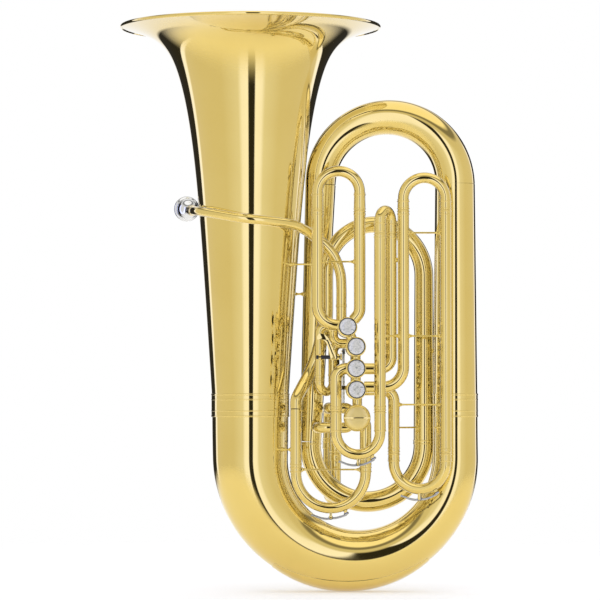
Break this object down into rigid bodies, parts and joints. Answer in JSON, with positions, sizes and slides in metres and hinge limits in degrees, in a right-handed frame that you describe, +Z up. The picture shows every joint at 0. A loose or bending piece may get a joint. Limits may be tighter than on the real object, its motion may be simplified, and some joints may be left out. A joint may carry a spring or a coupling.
{
  "type": "contrabass tuba",
  "caption": "Upright contrabass tuba with front pistons, a thumb-worked rotor, tuning slides, water keys and a wide flared bell.",
  "frame": {"origin": "bottom centre of the bounding box", "axes": "+Z up towards the bell rim, +X from the bell side to the outer branch, -Y towards the pistons and the viewer"},
  "size_m": [0.6274, 0.458, 0.9912],
  "materials": {
    "brass": "polished lacquer",
    "nickel": "polished plating",
    "pearl": "pearl inlay"
  },
  "bodies": {
    "horn": {"bell": "brass", "bell_rim": "brass", "bell_ferrule": "brass", "bottom_bow": "brass", "bow_guard": "brass", "branch_ferrule": "brass", "outer_branch": "brass", "top_bow": "brass", "left_branch": "brass", "inner_bow": "brass", "inner_branch": "brass", "inner_arch": "brass", "inner_crook": "brass", "leadpipe": "brass", "receiver": "brass", "valve_casings": "brass", "top_caps": "brass", "bottom_caps": "brass", "first_tubes": "brass", "second_tubes": "brass", "third_left_tube": "brass", "third_long_tube": "brass", "third_back_tube": "brass", "fourth_left_tube": "brass", "fourth_long_tube": "brass", "fourth_low_tube": "brass", "tuning_tubes": "brass", "rotor_casing": "brass", "rotor_cap": "brass", "fifth_upper_tube": "brass", "fifth_lower_tube": "brass", "slide_braces": "brass", "bell_braces": "brass", "lever_posts": "brass"},
    "piston_1": {"piston_1": "brass", "pearl_1": "pearl"},
    "piston_2": {"piston_2": "brass", "pearl_2": "pearl"},
    "piston_3": {"piston_3": "brass", "pearl_3": "pearl"},
    "piston_4": {"piston_4": "brass", "pearl_4": "pearl"},
    "slide_1": {"slide_1": "brass"},
    "slide_2": {"slide_2": "brass"},
    "slide_3_lower": {"slide_3_lower": "brass"},
    "slide_3_upper": {"slide_3_upper": "brass"},
    "slide_4_upper": {"slide_4_upper": "brass"},
    "slide_4_lower": {"slide_4_lower": "brass"},
    "tuning_slide": {"tuning_slide": "brass"},
    "slide_5": {"slide_5": "brass"},
    "water_key_3": {"water_key_3": "nickel"},
    "water_key_4": {"water_key_4": "nickel"},
    "water_key_tuning": {"water_key_tuning": "nickel"},
    "rotor": {"rotor": "brass", "rotor_crank": "brass"},
    "thumb_lever": {"thumb_lever": "brass"},
    "link_rod": {"link_rod": "nickel"},
    "mouthpiece": {"mouthpiece": "nickel"}
  },
  "joints": [
    {"name": "piston_1_press", "type": "slide", "parent": "horn", "child": "piston_1", "axis": [0, 1, 0], "range_m": [0, 0.017], "stiffness_N_per_m": 250, "springref_m": -0.02},
    {"name": "piston_2_press", "type": "slide", "parent": "horn", "child": "piston_2", "axis": [0, 1, 0], "range_m": [0, 0.017], "stiffness_N_per_m": 250, "springref_m": -0.02},
    {"name": "piston_3_press", "type": "slide", "parent": "horn", "child": "piston_3", "axis": [0, 1, 0], "range_m": [0, 0.017], "stiffness_N_per_m": 250, "springref_m": -0.02},
    {"name": "piston_4_press", "type": "slide", "parent": "horn", "child": "piston_4", "axis": [0, 1, 0], "range_m": [0, 0.017], "stiffness_N_per_m": 250, "springref_m": -0.02},
    {"name": "slide_1_pull", "type": "slide", "parent": "horn", "child": "slide_1", "axis": [0, 0, 1], "range_m": [0, 0.06]},
    {"name": "slide_2_pull", "type": "slide", "parent": "horn", "child": "slide_2", "axis": [0, 0, -1], "range_m": [0, 0.008]},
    {"name": "slide_3_lower_pull", "type": "slide", "parent": "horn", "child": "slide_3_lower", "axis": [0, 0, -1], "range_m": [0, 0.03]},
    {"name": "slide_3_upper_pull", "type": "slide", "parent": "horn", "child": "slide_3_upper", "axis": [0, 0, 1], "range_m": [0, 0.05]},
    {"name": "slide_4_upper_pull", "type": "slide", "parent": "horn", "child": "slide_4_upper", "axis": [0, 0, 1], "range_m": [0, 0.06]},
    {"name": "slide_4_lower_pull", "type": "slide", "parent": "horn", "child": "slide_4_lower", "axis": [0, 0, -1], "range_m": [0, 0.03]},
    {"name": "tuning_slide_pull", "type": "slide", "parent": "horn", "child": "tuning_slide", "axis": [0, 0, -1], "range_m": [0, 0.02]},
    {"name": "slide_5_pull", "type": "slide", "parent": "horn", "child": "slide_5", "axis": [0, 0, -1], "range_m": [0, 0.04]},
    {"name": "water_key_3_lift", "type": "hinge", "parent": "slide_3_lower", "child": "water_key_3", "pos_m": [0.10235, -0.08, 0.2236], "axis": [0, 1, 0], "range_deg": [0, 14], "stiffness_Nm_per_rad": 0.05, "springref_deg": -28.65},
    {"name": "water_key_4_lift", "type": "hinge", "parent": "slide_4_lower", "child": "water_key_4", "pos_m": [0.2099, -0.047, 0.16321], "axis": [0.2395, 0.9709, 0], "range_deg": [0, 12], "stiffness_Nm_per_rad": 0.05, "springref_deg": -28.65},
    {"name": "water_key_tuning_lift", "type": "hinge", "parent": "tuning_slide", "child": "water_key_tuning", "pos_m": [0.05555, -0.05, 0.1304], "axis": [0, 1, 0], "range_deg": [0, 10], "stiffness_Nm_per_rad": 0.05, "springref_deg": -28.65},
    {"name": "rotor_turn", "type": "hinge", "parent": "horn", "child": "rotor", "pos_m": [0.1008, -0.04, 0.3029], "axis": [0, -1, 0], "range_deg": [0, 90], "stiffness_Nm_per_rad": 0.02, "springref_deg": -68.75},
    {"name": "thumb_lever_press", "type": "hinge", "parent": "horn", "child": "thumb_lever", "pos_m": [0.0525, -0.076, 0.408], "axis": [-1, 0, 0], "range_deg": [0, 15.4]},
    {"name": "link_rod_lift", "type": "slide", "parent": "horn", "child": "link_rod", "axis": [0, 0, -1], "range_m": [0, 0.0228]},
    {"name": "mouthpiece_pull", "type": "slide", "parent": "horn", "child": "mouthpiece", "axis": [-0.1558, 0.9839, 0.0872], "range_m": [0, 0.025]}
  ],
  "couplings": [
    {"joint": "thumb_lever_press", "follows": "rotor_turn", "ratio": 0.17044},
    {"joint": "link_rod_lift", "follows": "rotor_turn", "m_per_rad": 0.0144}
  ]
}
